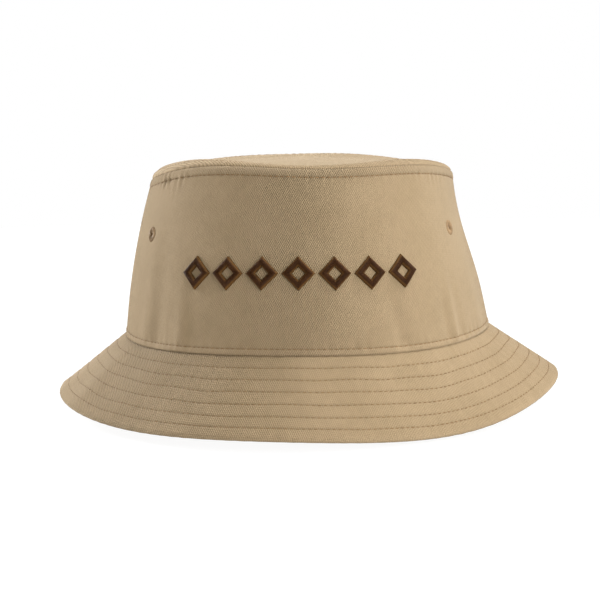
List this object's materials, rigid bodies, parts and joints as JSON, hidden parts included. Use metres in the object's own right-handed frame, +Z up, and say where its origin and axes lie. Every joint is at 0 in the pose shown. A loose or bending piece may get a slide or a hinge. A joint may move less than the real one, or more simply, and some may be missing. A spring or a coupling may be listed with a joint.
{
  "type": "bucket hat",
  "caption": "Cotton twill bucket hat: oval crown with flat top, row-stitched sloping brim, eyelets, inner sweatband and raised diamond embroidery.",
  "frame": {"origin": "centre of the hat's box on the surface that the brim stands on", "axes": "+Z up through the crown's top panel, -Y towards the front of the hat (the embroidered side), +X towards the wearer's left"},
  "size_m": [0.253, 0.2514, 0.12],
  "materials": {
    "twill": "tan cotton twill, fine diagonal weave, matte",
    "thread": "tone-on-tone cotton-wrapped sewing thread",
    "binding": "plain cotton tape, matte",
    "interlining": "non-woven stiffener, matte",
    "label": "woven satin label, blank",
    "embroidery": "raised satin-stitch rayon thread, soft sheen"
  },
  "bodies": {
    "root": {"crown_top_panel": "twill", "crown_top_allowance": "twill", "crown_side_front": "twill", "crown_side_back": "twill", "eyelet_front_right": "thread", "eyelet_front_left": "thread", "eyelet_back_left": "thread", "eyelet_back_right": "thread", "crown_tip_stitch": "thread", "crown_top_stitch": "thread", "crown_base_stitch": "thread", "crown_top_seam_tape": "binding", "side_seam_tape_left": "binding", "side_seam_tape_right": "binding", "sweatband": "binding", "sweatband_stitch": "thread", "main_label": "label", "care_label": "label", "brim_upper_front": "twill", "brim_upper_back": "twill", "brim_interlining_front": "interlining", "brim_interlining_back": "interlining", "brim_lower_front": "twill", "brim_lower_back": "twill", "brim_stitch_row_1": "thread", "brim_stitch_row_2": "thread", "brim_stitch_row_3": "thread", "brim_stitch_row_4": "thread", "brim_stitch_row_5": "thread", "brim_stitch_row_6": "thread", "embroidery_backing": "interlining", "motif_diamond_1": "embroidery", "motif_diamond_2": "embroidery", "motif_diamond_3": "embroidery", "motif_diamond_4": "embroidery", "motif_diamond_5": "embroidery", "motif_diamond_6": "embroidery", "motif_diamond_7": "embroidery"}
  },
  "joints": []
}
